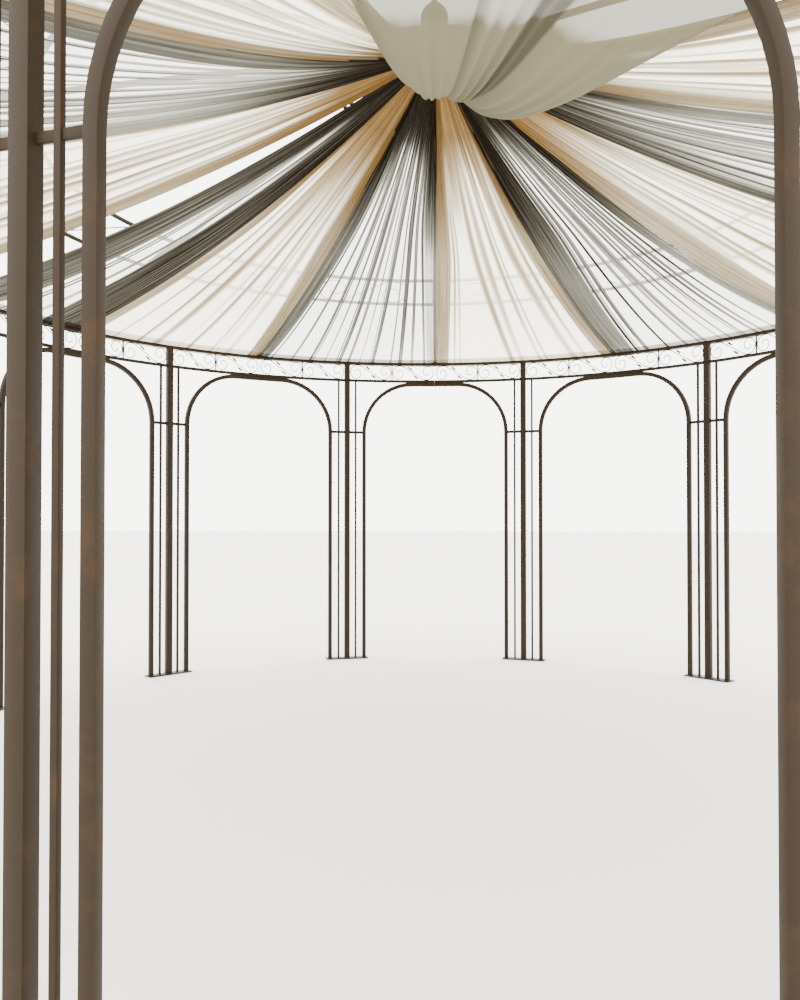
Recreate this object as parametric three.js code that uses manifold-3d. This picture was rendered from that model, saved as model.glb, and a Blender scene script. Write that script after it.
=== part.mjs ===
// Round wrought-iron garden canopy with sheer cloth panels under its domed roof.
// Millimetres, +Z up. The origin is the centre of the base, on the ground.
// Angles are degrees clockwise from +Y, seen from above.

import * as THREE from 'three';
import { mergeVertices } from 'three/addons/utils/BufferGeometryUtils.js';
import Module from 'manifold-3d';

const manifoldLibrary = await Module();
manifoldLibrary.setup();

// Plan of the canopy
const COLUMN_COUNT = 12;
const RING_RADIUS = 2630;
const PITCH_DEG = 360 / COLUMN_COUNT;
const FIRST_COLUMN_DEG = PITCH_DEG / 2;
const QUARTER_COUNT = 4;
const SEAT_GAP = 0.3;

// Column frame: main post, two arch legs, two thin bars, a tie at the arch spring and a foot plate
const POST_SIDE = 40;
const LEG_SIDE = 28;
const LEG_OFFSET = 133;
const THIN_BAR_SIDE = 14;
const FOOT_THICKNESS = 6;
const FOOT_MARGIN = 15;
const FOOT_DEPTH = 90;
const TIE_HEIGHT = 20;
const TIE_DEPTH = 8;
const ARCH_RADIUS = 380;
const ARCH_SEGMENTS = 5;

// Eave frieze: two square rails with scrolls between them
const RAIL_SIDE = 20;
const LOWER_RAIL_Z = 2155;
const UPPER_RAIL_Z = 2290;
const RAIL_STEP_DEG = 7.5;
const SCROLLS_PER_HALF_BAY = 2;
const SCROLL_CORNER_RADIUS = 4.2;
const SCROLL_OUTER_RADIUS = 65;
const SCROLL_INNER_RADIUS = 16;
const SCROLL_INSET = 63;
const SCROLL_TURNS = 1;
const SCROLL_POINTS = 6;
const SCROLL_STEPS = 13;
const SCROLL_TIE_SIDE = 8;

// Roof: ribs on a low dome, a band of two rings part way up, and a double crown ring
const RIB_SIDE = 20;
const RIB_STEPS = 12;
const RIB_FOOT_SIDE = 28;
const RIB_FOOT_HEIGHT = 12;
const RIB_EAVE_SLOPE_DEG = 24.5;
const RIB_CROWN_SLOPE_DEG = 17.5;
const MID_RING_SIDE = 18;
const MID_RING_RADII = [2000, 1750];
const MID_TIE_SIDE = 14;
const MID_END_MARGIN = 1;
const CROWN_RADIUS = 450;
const CROWN_RING_SIDE = 16;
const CROWN_TIE_SIDE = 12;
const CROWN_RING_ZS = [3100, 3152];
const CROWN_SIDES = 24;
const HUB_RADIUS = 40;
const HUB_SIDES = 12;
const HUB_BOTTOM_Z = 3240;
const HUB_TOP_Z = 3310;
const SPOKE_COUNT = 4;
const SPOKE_SIDE = 12;
const SPOKE_TOP_Z = 3300;
const BALL_RADIUS = 70;
const BALL_CENTRE_Z = 3460;
const SPIRE_RADIUS = 12;
const SPIKE_HEIGHT = 50;
const FINIAL_SIDES = 12;

// Cloth panels, one in each gap between two ribs, gathered at the hub and spread along the eave
const PANEL_HALF_DEG = 14.6;
const PANEL_EAVE_GAP = 1.5;
const PANEL_CROWN_Z = 3270;
const PANEL_THICKNESS = 8;
const SHEER_SAG = { depth: 110, fromCrown: 1, fromEave: 1 };
const MUSLIN_SAG = { depth: 280, fromCrown: 1, fromEave: 2.9 };
const PANEL_ANGLE_STEPS = 4;
const PANEL_RUN_STEPS = 7;

const radians = THREE.MathUtils.degToRad;
const HALF_BAY = RING_RADIUS * radians(PITCH_DEG / 2);
const ARCH_TOP_Z = LOWER_RAIL_Z - RAIL_SIDE / 2 - SEAT_GAP;
const ARCH_SPRING_Z = ARCH_TOP_Z - LEG_SIDE / 2 - ARCH_RADIUS;
const RAIL_TOP_Z = UPPER_RAIL_Z + RAIL_SIDE / 2;
const STUB_TOP_Z = UPPER_RAIL_Z - RAIL_SIDE / 2 + 2;

const ironMaterial = new THREE.MeshStandardMaterial({ color: 0x3a2922, roughness: 0.72, metalness: 0.55 });
const greyMaterial = new THREE.MeshStandardMaterial({ color: 0x8f8575, roughness: 0.95, metalness: 0 });
const peachMaterial = new THREE.MeshStandardMaterial({ color: 0xd8b07a, roughness: 0.95, metalness: 0 });
const muslinMaterial = new THREE.MeshStandardMaterial({ color: 0xc4bfa8, roughness: 1, metalness: 0 });

// Closed solid of a three.js geometry, with its seams and poles merged.
function solidOf(geometry) {
  geometry.deleteAttribute('normal');
  geometry.deleteAttribute('uv');
  const merged = mergeVertices(geometry, 1e-3);
  const index = merged.index.array;
  const triVerts = [];
  for (let i = 0; i < index.length; i += 3) {
    const [a, b, c] = [index[i], index[i + 1], index[i + 2]];
    if (a !== b && b !== c && c !== a) triVerts.push(a, b, c);
  }
  return new manifoldLibrary.Manifold(new manifoldLibrary.Mesh({
    numProp: 3,
    vertProperties: new Float32Array(merged.attributes.position.array),
    triVerts: new Uint32Array(triVerts),
  }));
}

// One geometry from overlapping pieces, joined into a single closed body.
function joined(geometries) {
  const solid = geometries.map(solidOf).reduce((whole, next) => whole.add(next));
  const mesh = solid.getMesh();
  const geometry = new THREE.BufferGeometry();
  geometry.setAttribute('position', new THREE.Float32BufferAttribute(mesh.vertProperties, 3));
  geometry.setIndex(new THREE.Uint32BufferAttribute(mesh.triVerts, 1));
  geometry.computeVertexNormals();
  return geometry;
}

// Moves every vertex of a geometry through a function of its place.
function reshaped(geometry, place) {
  const positions = geometry.attributes.position;
  const point = new THREE.Vector3();
  for (let i = 0; i < positions.count; i += 1) {
    point.fromBufferAttribute(positions, i);
    place(point);
    positions.setXYZ(i, point.x, point.y, point.z);
  }
  return geometry;
}

// Puts a point at a radius and angle on the plan.
function setOnPlan(point, radius, angle, z) {
  return point.set(radius * Math.sin(angle), radius * Math.cos(angle), z);
}

// Bends a flat geometry round the canopy. Its x is arc length and its y is outwards.
function wrapped(geometry, centreDeg, radius = RING_RADIUS) {
  return reshaped(geometry, (point) => {
    const angle = radians(centreDeg) + point.x / radius;
    setOnPlan(point, radius + point.y, angle, point.z);
  });
}

function upright(x, side, bottom, top) {
  const bar = new THREE.BoxGeometry(side, side, top - bottom);
  return bar.translate(x, 0, (bottom + top) / 2);
}

// Arch leg and half of the arch: up, round a quarter turn, and along to the middle of the bay.
function archLeg(side) {
  const inner = LEG_OFFSET - LEG_SIDE / 2;
  const outer = LEG_OFFSET + LEG_SIDE / 2;
  const centre = LEG_OFFSET + ARCH_RADIUS;
  const end = HALF_BAY - SEAT_GAP / 2;
  const shape = new THREE.Shape();
  shape.moveTo(inner, FOOT_THICKNESS / 2);
  shape.lineTo(outer, FOOT_THICKNESS / 2);
  shape.lineTo(outer, ARCH_SPRING_Z);
  shape.absarc(centre, ARCH_SPRING_Z, ARCH_RADIUS - LEG_SIDE / 2, Math.PI, Math.PI / 2, true);
  shape.lineTo(end, ARCH_TOP_Z - LEG_SIDE);
  shape.lineTo(end, ARCH_TOP_Z);
  shape.lineTo(centre, ARCH_TOP_Z);
  shape.absarc(centre, ARCH_SPRING_Z, ARCH_RADIUS + LEG_SIDE / 2, Math.PI / 2, Math.PI, false);
  shape.closePath();
  const settings = { depth: LEG_SIDE, bevelEnabled: false, curveSegments: ARCH_SEGMENTS };
  const leg = new THREE.ExtrudeGeometry(shape, settings);
  leg.rotateX(Math.PI / 2);
  leg.translate(0, LEG_SIDE / 2, 0);
  if (side < 0) leg.rotateZ(Math.PI);
  return leg;
}

function columnGeometry(angleDeg) {
  const width = 2 * LEG_OFFSET + LEG_SIDE;
  const plateWidth = width + 2 * FOOT_MARGIN;
  const foot = new THREE.BoxGeometry(plateWidth, FOOT_DEPTH, FOOT_THICKNESS);
  foot.translate(0, 0, FOOT_THICKNESS / 2);
  const tie = new THREE.BoxGeometry(width - LEG_SIDE, TIE_DEPTH, TIE_HEIGHT);
  tie.translate(0, 0, ARCH_SPRING_Z);
  const start = FOOT_THICKNESS / 2;
  const thinBars = [-1, 1].map((side) => upright(side * LEG_OFFSET / 2, THIN_BAR_SIDE, start, ARCH_TOP_Z));
  const post = upright(0, POST_SIDE, start, ARCH_TOP_Z);
  const pieces = [foot, tie, post, ...thinBars, archLeg(1), archLeg(-1)];
  return joined(pieces.map((piece) => wrapped(piece, angleDeg)));
}

// Square ring between two angles.
function ringArc(radius, z, side, fromDeg, toDeg, stepDeg, endGap) {
  const sweepDeg = toDeg - fromDeg;
  const length = radius * radians(sweepDeg) - endGap;
  const segments = Math.round(sweepDeg / stepDeg);
  const bar = new THREE.BoxGeometry(length, side, side, segments, 1, 1).translate(0, 0, z);
  return wrapped(bar, (fromDeg + toDeg) / 2, radius);
}

// Regular polygon with a corner on its first axis.
function regularShape(sides, cornerRadius) {
  const corners = Array.from({ length: sides }, (_, i) => {
    const turn = 2 * Math.PI * i / sides;
    return new THREE.Vector2(cornerRadius * Math.cos(turn), cornerRadius * Math.sin(turn));
  });
  return new THREE.Shape(corners);
}

// S-scroll of thin wire, lying in a flat strip of the given length and centred on it.
function scrollGeometry(length, mirrored) {
  const spiralCentre = length / 2 - SCROLL_INSET;
  const leaving = Math.acos(SCROLL_OUTER_RADIUS / spiralCentre);
  const half = [];
  for (let i = 0; i < SCROLL_POINTS; i += 1) {
    const t = i / (SCROLL_POINTS - 1);
    const angle = leaving + (1 - t) * SCROLL_TURNS * 2 * Math.PI;
    const radius = THREE.MathUtils.lerp(SCROLL_INNER_RADIUS, SCROLL_OUTER_RADIUS, Math.sqrt(t));
    half.push(new THREE.Vector3(-spiralCentre + radius * Math.cos(angle), 0, radius * Math.sin(angle)));
  }
  const otherHalf = half.map((p) => new THREE.Vector3(-p.x, 0, -p.z)).reverse();
  const points = [...half, ...otherHalf];
  const flip = mirrored ? -1 : 1;
  points.forEach((p) => p.setX(p.x * flip));
  const path = new THREE.CatmullRomCurve3(points, false, 'centripetal');
  const section = regularShape(3, SCROLL_CORNER_RADIUS);
  return new THREE.ExtrudeGeometry(section, { steps: SCROLL_STEPS, bevelEnabled: false, extrudePath: path });
}

// A quarter of the eave frieze: two rails, three stub posts, and scrolls with ties between them.
function friezeGeometry(fromDeg) {
  const toDeg = fromDeg + 360 / QUARTER_COUNT;
  const pieces = [LOWER_RAIL_Z, UPPER_RAIL_Z].map((z) => {
    return ringArc(RING_RADIUS, z, RAIL_SIDE, fromDeg, toDeg, RAIL_STEP_DEG, SEAT_GAP);
  });
  const middleZ = (LOWER_RAIL_Z + UPPER_RAIL_Z) / 2;
  const halfBayClear = HALF_BAY - POST_SIDE / 2 - SCROLL_TIE_SIDE / 2 - SEAT_GAP;
  const scrollRun = halfBayClear / SCROLLS_PER_HALF_BAY;
  for (let columnDeg = fromDeg + FIRST_COLUMN_DEG; columnDeg < toDeg; columnDeg += PITCH_DEG) {
    pieces.push(wrapped(upright(0, POST_SIDE, LOWER_RAIL_Z, STUB_TOP_Z), columnDeg));
    for (const side of [-1, 1]) {
      for (let i = 0; i < SCROLLS_PER_HALF_BAY; i += 1) {
        const x = side * (POST_SIDE / 2 + (i + 0.5) * scrollRun);
        const scroll = scrollGeometry(scrollRun, (i % 2 === 0) === (side > 0));
        pieces.push(wrapped(scroll.translate(x, 0, middleZ), columnDeg));
        const tieX = side * (POST_SIDE / 2 + (i + 1) * scrollRun);
        pieces.push(wrapped(upright(tieX, SCROLL_TIE_SIDE, LOWER_RAIL_Z, UPPER_RAIL_Z), columnDeg));
      }
    }
  }
  return joined(pieces);
}

// Line of a rib in its own upright plane: x is the radius and y is the height.
function ribCurve() {
  const eave = new THREE.Vector2(RING_RADIUS, RAIL_TOP_Z + SEAT_GAP + RIB_FOOT_HEIGHT);
  const crownZ = (CROWN_RING_ZS[0] + CROWN_RING_ZS[1]) / 2;
  const endTilt = RIB_SIDE / 2 * Math.sin(radians(RIB_CROWN_SLOPE_DEG));
  const crown = new THREE.Vector2(CROWN_RADIUS + CROWN_TIE_SIDE / 2 + SEAT_GAP + endTilt, crownZ);
  const eaveSlope = Math.tan(radians(RIB_EAVE_SLOPE_DEG));
  const crownSlope = Math.tan(radians(RIB_CROWN_SLOPE_DEG));
  const rise = crown.y - eave.y;
  const span = eave.x - crown.x;
  const inwards = (rise - crownSlope * span) / (eaveSlope - crownSlope);
  const bend = new THREE.Vector2(eave.x - inwards, eave.y + eaveSlope * inwards);
  return new THREE.QuadraticBezierCurve(eave, bend, crown);
}

// Height of the rib's upper face at a radius.
function ribTopAt(radius) {
  const curve = ribCurve();
  const half = RIB_SIDE / 2;
  const topPoint = (t) => {
    const tangent = curve.getTangent(t);
    return curve.getPoint(t).add(new THREE.Vector2(tangent.y, -tangent.x).multiplyScalar(half));
  };
  let low = 0;
  let high = 1;
  for (let i = 0; i < 40; i += 1) {
    const middle = (low + high) / 2;
    if (topPoint(middle).x > radius) low = middle;
    else high = middle;
  }
  return topPoint(low).y;
}

function ribGeometry(angleDeg) {
  const curve = ribCurve();
  const as3d = (p) => new THREE.Vector3(0, p.x, p.y);
  const path = new THREE.QuadraticBezierCurve3(as3d(curve.v0), as3d(curve.v1), as3d(curve.v2));
  const half = RIB_SIDE / 2;
  const section = new THREE.Shape([[-1, -1], [1, -1], [1, 1], [-1, 1]].map(([x, y]) => {
    return new THREE.Vector2(x * half, y * half);
  }));
  const bar = new THREE.ExtrudeGeometry(section, { steps: RIB_STEPS, bevelEnabled: false, extrudePath: path });
  const foot = new THREE.BoxGeometry(RIB_FOOT_SIDE, RIB_FOOT_SIDE, RIB_FOOT_HEIGHT);
  foot.translate(0, RING_RADIUS, RAIL_TOP_Z + SEAT_GAP + RIB_FOOT_HEIGHT / 2);
  return joined([bar, foot]).rotateZ(-radians(angleDeg));
}

// Angles of the band's ties in a quarter: one over each rib inside it and one close to each end.
function midTieAngles(fromDeg, toDeg, innerRadius) {
  const endStep = THREE.MathUtils.radToDeg((MID_TIE_SIDE / 2 + MID_END_MARGIN) / innerRadius);
  const angles = [fromDeg + endStep, toDeg - endStep];
  for (let ribDeg = fromDeg + PITCH_DEG; ribDeg < toDeg; ribDeg += PITCH_DEG) angles.push(ribDeg);
  return angles;
}

// A quarter of the roof band: two rings lying on the ribs, with short ties between them.
function midBandGeometry(fromDeg) {
  const toDeg = fromDeg + 360 / QUARTER_COUNT;
  const half = MID_RING_SIDE / 2;
  const places = MID_RING_RADII.map((radius) => ({ radius, z: ribTopAt(radius - half) + half + SEAT_GAP }));
  const pieces = places.map(({ radius, z }) => {
    return ringArc(radius, z, MID_RING_SIDE, fromDeg, toDeg, RAIL_STEP_DEG, SEAT_GAP);
  });
  const [outer, inner] = places;
  const run = outer.radius - inner.radius;
  const rise = inner.z - outer.z;
  for (const tieDeg of midTieAngles(fromDeg, toDeg, inner.radius)) {
    const tie = new THREE.BoxGeometry(MID_TIE_SIDE, Math.hypot(run, rise), MID_TIE_SIDE);
    tie.rotateX(-Math.atan2(rise, run));
    tie.translate(0, (outer.radius + inner.radius) / 2, (outer.z + inner.z) / 2);
    pieces.push(tie.rotateZ(-radians(tieDeg)));
  }
  return joined(pieces);
}

// Crown: two rings one above the other, a tie behind each rib end, and spokes up to a central hub.
function crownGeometry() {
  const pieces = CROWN_RING_ZS.map((z) => {
    const outline = regularShape(CROWN_SIDES, CROWN_RADIUS + CROWN_RING_SIDE / 2);
    outline.holes.push(regularShape(CROWN_SIDES, CROWN_RADIUS - CROWN_RING_SIDE / 2));
    const ring = new THREE.ExtrudeGeometry(outline, { depth: CROWN_RING_SIDE, bevelEnabled: false });
    return ring.translate(0, 0, z - CROWN_RING_SIDE / 2);
  });
  const [low, high] = CROWN_RING_ZS;
  for (let i = 0; i < COLUMN_COUNT; i += 1) {
    const tie = new THREE.BoxGeometry(CROWN_TIE_SIDE, CROWN_TIE_SIDE, high - low);
    tie.translate(0, CROWN_RADIUS, (low + high) / 2);
    pieces.push(tie.rotateZ(-radians(i * PITCH_DEG)));
  }
  const spokeRise = SPOKE_TOP_Z - high;
  for (let i = 0; i < SPOKE_COUNT; i += 1) {
    const spoke = new THREE.BoxGeometry(SPOKE_SIDE, Math.hypot(CROWN_RADIUS, spokeRise), SPOKE_SIDE);
    spoke.rotateX(-Math.atan2(spokeRise, CROWN_RADIUS));
    spoke.translate(0, CROWN_RADIUS / 2, (high + SPOKE_TOP_Z) / 2);
    pieces.push(spoke.rotateZ(-radians(i * 360 / SPOKE_COUNT)));
  }
  const hub = new THREE.CylinderGeometry(HUB_RADIUS, HUB_RADIUS, HUB_TOP_Z - HUB_BOTTOM_Z, HUB_SIDES);
  hub.rotateX(Math.PI / 2).translate(0, 0, (HUB_BOTTOM_Z + HUB_TOP_Z) / 2);
  pieces.push(hub);
  return joined(pieces);
}

// Finial: a turned spire with a ball and a short spike.
function finialGeometry() {
  const bottom = HUB_TOP_Z + SEAT_GAP;
  const profile = [
    [0, bottom],
    [HUB_RADIUS * 0.8, bottom],
    [HUB_RADIUS * 0.8, bottom + 12],
    [SPIRE_RADIUS, bottom + 40],
    [SPIRE_RADIUS, BALL_CENTRE_Z - BALL_RADIUS - 18],
    [SPIRE_RADIUS * 1.8, BALL_CENTRE_Z - BALL_RADIUS - 6],
  ];
  const ballSteps = 7;
  for (let i = 1; i < ballSteps; i += 1) {
    const angle = -Math.PI / 2 + Math.PI * i / ballSteps;
    profile.push([BALL_RADIUS * Math.cos(angle), BALL_CENTRE_Z + BALL_RADIUS * Math.sin(angle)]);
  }
  profile.push([SPIRE_RADIUS, BALL_CENTRE_Z + BALL_RADIUS]);
  profile.push([0, BALL_CENTRE_Z + BALL_RADIUS + SPIKE_HEIGHT]);
  const points = profile.map(([radius, z]) => new THREE.Vector2(radius, z));
  return joined([new THREE.LatheGeometry(points, FINIAL_SIDES).rotateX(Math.PI / 2)]);
}

// How far a panel hangs below its straight line, at a share of the way from the eave to the hub.
// The two powers move the lowest part towards one end.
function sagAt(along, { depth, fromCrown, fromEave }) {
  const shape = (t) => (1 - t) ** fromCrown * t ** fromEave;
  return depth * shape(along) / shape(fromEave / (fromCrown + fromEave));
}

// Cloth panel: a thin sheet from the eave rail up to the hub, sagging between them.
function panelGeometry(angleDeg, sag) {
  const eaveRadius = RING_RADIUS - RAIL_SIDE / 2 - PANEL_EAVE_GAP;
  const hubRadius = HUB_RADIUS + SEAT_GAP;
  const sheet = new THREE.BoxGeometry(1, 1, PANEL_THICKNESS, PANEL_ANGLE_STEPS, PANEL_RUN_STEPS, 1);
  return joined([reshaped(sheet, (point) => {
    const along = point.y + 0.5;
    const angle = radians(angleDeg - 2 * PANEL_HALF_DEG * point.x);
    const radius = THREE.MathUtils.lerp(eaveRadius, hubRadius, along);
    const chordZ = THREE.MathUtils.lerp(UPPER_RAIL_Z, PANEL_CROWN_Z, along);
    setOnPlan(point, radius, angle, chordZ - sagAt(along, sag) + point.z);
  })]);
}

const canopy = new THREE.Group();

function addPiece(name, geometry, material) {
  const mesh = new THREE.Mesh(geometry, material);
  mesh.name = name;
  canopy.add(mesh);
}

// The panels repeat by column: peach and grey in turn, with one of muslin in a grey one's place at the front.
function panelKind(column) {
  if (column === COLUMN_COUNT / 2) return 'muslin';
  return column % 2 === 0 ? 'grey' : 'peach';
}

const panelMaterials = { grey: greyMaterial, peach: peachMaterial, muslin: muslinMaterial };

for (let column = 1; column <= COLUMN_COUNT; column += 1) {
  const angleDeg = FIRST_COLUMN_DEG + (column - 1) * PITCH_DEG;
  const tag = String(column).padStart(2, '0');
  const kind = panelKind(column);
  addPiece(`column_${tag}`, columnGeometry(angleDeg), ironMaterial);
  addPiece(`roof_rib_${tag}`, ribGeometry(angleDeg - FIRST_COLUMN_DEG), ironMaterial);
  addPiece(`cloth_${kind}_${tag}`, panelGeometry(angleDeg, kind === 'muslin' ? MUSLIN_SAG : SHEER_SAG),
    panelMaterials[kind]);
}

for (let quarter = 0; quarter < QUARTER_COUNT; quarter += 1) {
  const fromDeg = quarter * 360 / QUARTER_COUNT;
  addPiece(`eave_frieze_${quarter + 1}`, friezeGeometry(fromDeg), ironMaterial);
  addPiece(`roof_band_${quarter + 1}`, midBandGeometry(fromDeg), ironMaterial);
}

addPiece('crown_ring', crownGeometry(), ironMaterial);
addPiece('finial', finialGeometry(), ironMaterial);

export default canopy;
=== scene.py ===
"""Smooth ironwork, gathered cloth and studio of a round garden canopy, built around its CAD frame."""

import math

import bpy
import numpy as np
from bpy.props import FloatProperty, FloatVectorProperty, IntProperty, PointerProperty
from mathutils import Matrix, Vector


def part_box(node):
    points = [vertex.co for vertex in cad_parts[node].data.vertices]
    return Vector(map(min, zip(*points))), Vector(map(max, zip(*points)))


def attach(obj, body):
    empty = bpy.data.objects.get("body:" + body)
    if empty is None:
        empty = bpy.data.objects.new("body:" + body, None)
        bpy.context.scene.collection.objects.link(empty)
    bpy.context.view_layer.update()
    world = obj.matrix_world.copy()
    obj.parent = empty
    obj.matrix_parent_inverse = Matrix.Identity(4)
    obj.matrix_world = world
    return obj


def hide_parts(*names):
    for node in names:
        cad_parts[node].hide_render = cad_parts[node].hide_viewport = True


bl_info = {
    "name": "Round Iron Canopy",
    "version": (1, 0, 0),
    "blender": (4, 5, 0),
    "location": "View3D > Sidebar > Canopy",
    "description": "Builds the ironwork, the gathered cloth and the studio of a round garden canopy",
    "category": "Object",
}

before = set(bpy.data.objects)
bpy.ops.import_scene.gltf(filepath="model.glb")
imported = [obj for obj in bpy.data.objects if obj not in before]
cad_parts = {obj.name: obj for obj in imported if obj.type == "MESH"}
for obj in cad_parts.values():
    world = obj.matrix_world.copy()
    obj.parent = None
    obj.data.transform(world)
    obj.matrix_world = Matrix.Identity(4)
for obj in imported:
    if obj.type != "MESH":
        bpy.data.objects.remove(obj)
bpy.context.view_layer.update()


def named_in_frame(start):
    """The CAD nodes whose names start in this way, in the order of their numbers."""
    names = [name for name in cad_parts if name.startswith(start)]
    return sorted(names, key=lambda name: int(name.rsplit("_", 1)[1]))


def heights(name):
    """The lowest and the highest level of a CAD node."""
    low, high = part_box(name)
    return low.z, high.z


# Places read from the CAD frame, in metres
COLUMN_NAMES = named_in_frame("column_")
FRIEZE_NAMES = named_in_frame("eave_frieze_")
RIB_NAMES = named_in_frame("roof_rib_")
BAND_NAMES = named_in_frame("roof_band_")
CLOTH_NAMES = named_in_frame("cloth_")
PITCH = 2 * math.pi / len(COLUMN_NAMES)
QUARTER = 2 * math.pi / len(FRIEZE_NAMES)
BAYS_IN_QUARTER = round(QUARTER / PITCH)
FIRST_COLUMN = PITCH / 2
ARCH_TOP = heights("column_01")[1]
FRIEZE_LOW, FRIEZE_TOP = heights("eave_frieze_1")
BAND_LOW, BAND_TOP = heights("roof_band_1")
CROWN_LOW, CROWN_TOP = heights("crown_ring")
FINIAL_LOW, FINIAL_TOP = heights("finial")
CAD_CLOTH_THICKNESS = 0.008
CLOTH_CROWN_HEIGHT = heights(CLOTH_NAMES[0])[1] - CAD_CLOTH_THICKNESS / 2

# Ironwork sizes that a user leaves alone. Half arches end so close that no light shows between them.
SEAT_GAP = 0.0003
ARCH_END_GAP = SEAT_GAP / 20
CROWN_TIE_SIDE = 0.012
BAND_TIE_SIDE = 0.014
TIE_SOFTNESS = 0.001
PLATE_SOFTNESS = 0.0015
# Steps along the curved bars, and sides of the turned pieces
ARCH_STEPS = 14
RIB_STEPS = 20
QUARTER_STEPS = 36
RING_STEPS = 72
ROUND_SIDES = 32


def metres(name, description, default):
    """A size in metres that a user can change."""
    return FloatProperty(name=name, description=description, default=default, unit="LENGTH")


def degrees(name, description, default):
    """A slope in degrees that a user can change."""
    return FloatProperty(
        name=name, description=description, default=math.radians(default), subtype="ANGLE"
    )


def tint(name, description, default):
    """A colour that a user can change."""
    return FloatVectorProperty(
        name=name, description=description, default=default, min=0, max=1, subtype="COLOR"
    )


class CanopyIronwork(bpy.types.PropertyGroup):
    """Sizes of the columns and the eave frieze."""

    ring_radius: metres("Ring radius", "From the middle of the canopy to the columns", 2.63)
    post_side: metres("Post side", "Side of each main post", 0.04)
    leg_side: metres("Leg side", "Side of the bars that bend into the arches", 0.028)
    leg_offset: metres("Leg offset", "From the post to each leg", 0.133)
    thin_bar_side: metres("Thin bar side", "Side of the bars between post and legs", 0.014)
    arch_radius: metres("Arch radius", "Radius of the rounded corner of each bay", 0.38)
    foot_depth: metres("Foot depth", "Depth of the foot plates", 0.09)
    foot_thickness: metres("Foot thickness", "Thickness of the foot plates", 0.006)
    rail_side: metres("Rail side", "Side of the two eave rails", 0.02)
    wire_radius: metres("Wire radius", "Radius of the scroll wire", 0.003)
    edge_softness: metres("Edge softness", "Rounding of the edges of the bars", 0.002)


class CanopyRoof(bpy.types.PropertyGroup):
    """Sizes of the ribs, the roof band, the crown and the finial."""

    rib_side: metres("Rib side", "Side of the curved ribs", 0.02)
    eave_slope: degrees("Eave slope", "Slope of a rib where it leaves the eave", 24.5)
    crown_slope: degrees("Crown slope", "Slope of a rib where it meets the crown", 17.5)
    band_side: metres("Band side", "Side of the two rings of the roof band", 0.018)
    outer_band_radius: metres("Outer band radius", "Radius of the lower ring of the roof band", 2.0)
    inner_band_radius: metres("Inner band radius", "Radius of the upper ring of the roof band", 1.75)
    crown_radius: metres("Crown radius", "Radius of the crown rings", 0.45)
    crown_side: metres("Crown side", "Side of the crown rings", 0.016)
    crown_spacing: metres("Crown spacing", "From the lower crown ring up to the upper one", 0.052)
    hub_height: metres("Hub height", "Height of the hub", 0.07)
    hub_radius: metres("Hub radius", "Radius of the hub that the cloth is gathered at", 0.04)
    ball_radius: metres("Ball radius", "Radius of the finial ball", 0.065)


class CanopyCloth(bpy.types.PropertyGroup):
    """Cut and drape of the cloth panels."""

    cut_width: metres("Cut width", "Width of a panel's cloth at the eave", 1.45)
    cut_length: metres("Cut length", "Length of a panel's cloth", 2.8)
    cut_share: FloatProperty(
        name="Cut share", description="Cloth left of the rectangle once its sides are tapered",
        default=0.68, min=0.3, max=1.0, subtype="FACTOR",
    )
    sheer_sag: metres("Sheer sag", "How far a sheer panel hangs below a straight line", 0.11)
    swag_sag: metres("Swag sag", "How far a muslin swag hangs below a straight line", 0.28)
    swag_lobe: metres("Swag lobe", "Extra sag in the middle of each lobe of a swag", 0.028)
    pleat_share: FloatProperty(
        name="Pleats", description="More or fewer pleats between the two bundles of a panel",
        default=1.0, min=0.2, max=2.0,
    )
    swag_fullness: FloatProperty(
        name="Swag fullness", description="Width of a swag's cloth for each metre of eave",
        default=1.05, min=1.0,
    )
    seed: IntProperty(name="Seed", description="Changes how the pleats fall", default=7, min=0)


class CanopyFinish(bpy.types.PropertyGroup):
    """Colours of the iron and the cloth, with the painted shade of the muslin."""

    iron: tint("Iron", "Dark brown of the old paint", (0.0135, 0.0082, 0.0038))
    rust: tint("Rust", "Colour of the rusty patches", (0.032, 0.0165, 0.0075))
    grey_folds: tint("Grey folds", "Grey cloth where it is gathered", (0.0115, 0.0071, 0.0032))
    grey_spread: tint("Grey spread", "Grey cloth where it is one layer", (0.36, 0.345, 0.265))
    peach_folds: tint("Peach folds", "Peach cloth where it is gathered", (0.19, 0.105, 0.029))
    peach_spread: tint("Peach spread", "Peach cloth where it is one layer", (0.50, 0.46, 0.32))
    # Painted shade: the muslin's colour in its shaded valleys, on the turned-away sides of its lobes
    # and in its creases, and also where it is gathered at the crown
    muslin_shade_and_gathers: tint("Muslin folds", "Muslin in the valleys between lobes", (0.026, 0.021, 0.012))
    muslin_spread: tint("Muslin spread", "Muslin on the lobes", (0.17, 0.155, 0.098))


class CanopyStudio(bpy.types.PropertyGroup):
    """Floor, light and camera."""

    floor_colour: tint("Floor", "Colour of the plain floor", (0.72, 0.71, 0.69))
    sky_colour: tint("Sky", "Colour of the even background", (1.0, 0.985, 0.94))
    sky_strength: FloatProperty(
        name="Sky strength", description="Brightness of the even background", default=7.0, min=0
    )
    soft_light_power: FloatProperty(
        name="Soft light", description="Power of the large soft light", default=170.0, unit="POWER"
    )
    eye_height: metres("Eye height", "Height of the camera", 1.13)
    eye_distance: metres("Eye distance", "From the camera to the middle of the canopy", 3.89)
    focal_length: FloatProperty(
        name="Focal length", description="Camera focal length in millimetres", default=29.92
    )


# Modelling by hand: one start, then the selected face is carried along
def leave_only(*objs):
    """Select these pieces and no others, and make the first one active."""
    bpy.ops.object.select_all(action="DESELECT")
    for obj in objs:
        obj.select_set(True)
    bpy.context.view_layer.objects.active = objs[0]


def place_in_mesh():
    """Move the active piece's place, turn and size into its mesh."""
    bpy.ops.object.transform_apply(location=True, rotation=True, scale=True)


def open_mesh():
    """Settle the active piece in its mesh and open it with all of it selected."""
    place_in_mesh()
    bpy.ops.object.mode_set(mode="EDIT")
    bpy.ops.mesh.select_all(action="SELECT")


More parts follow.
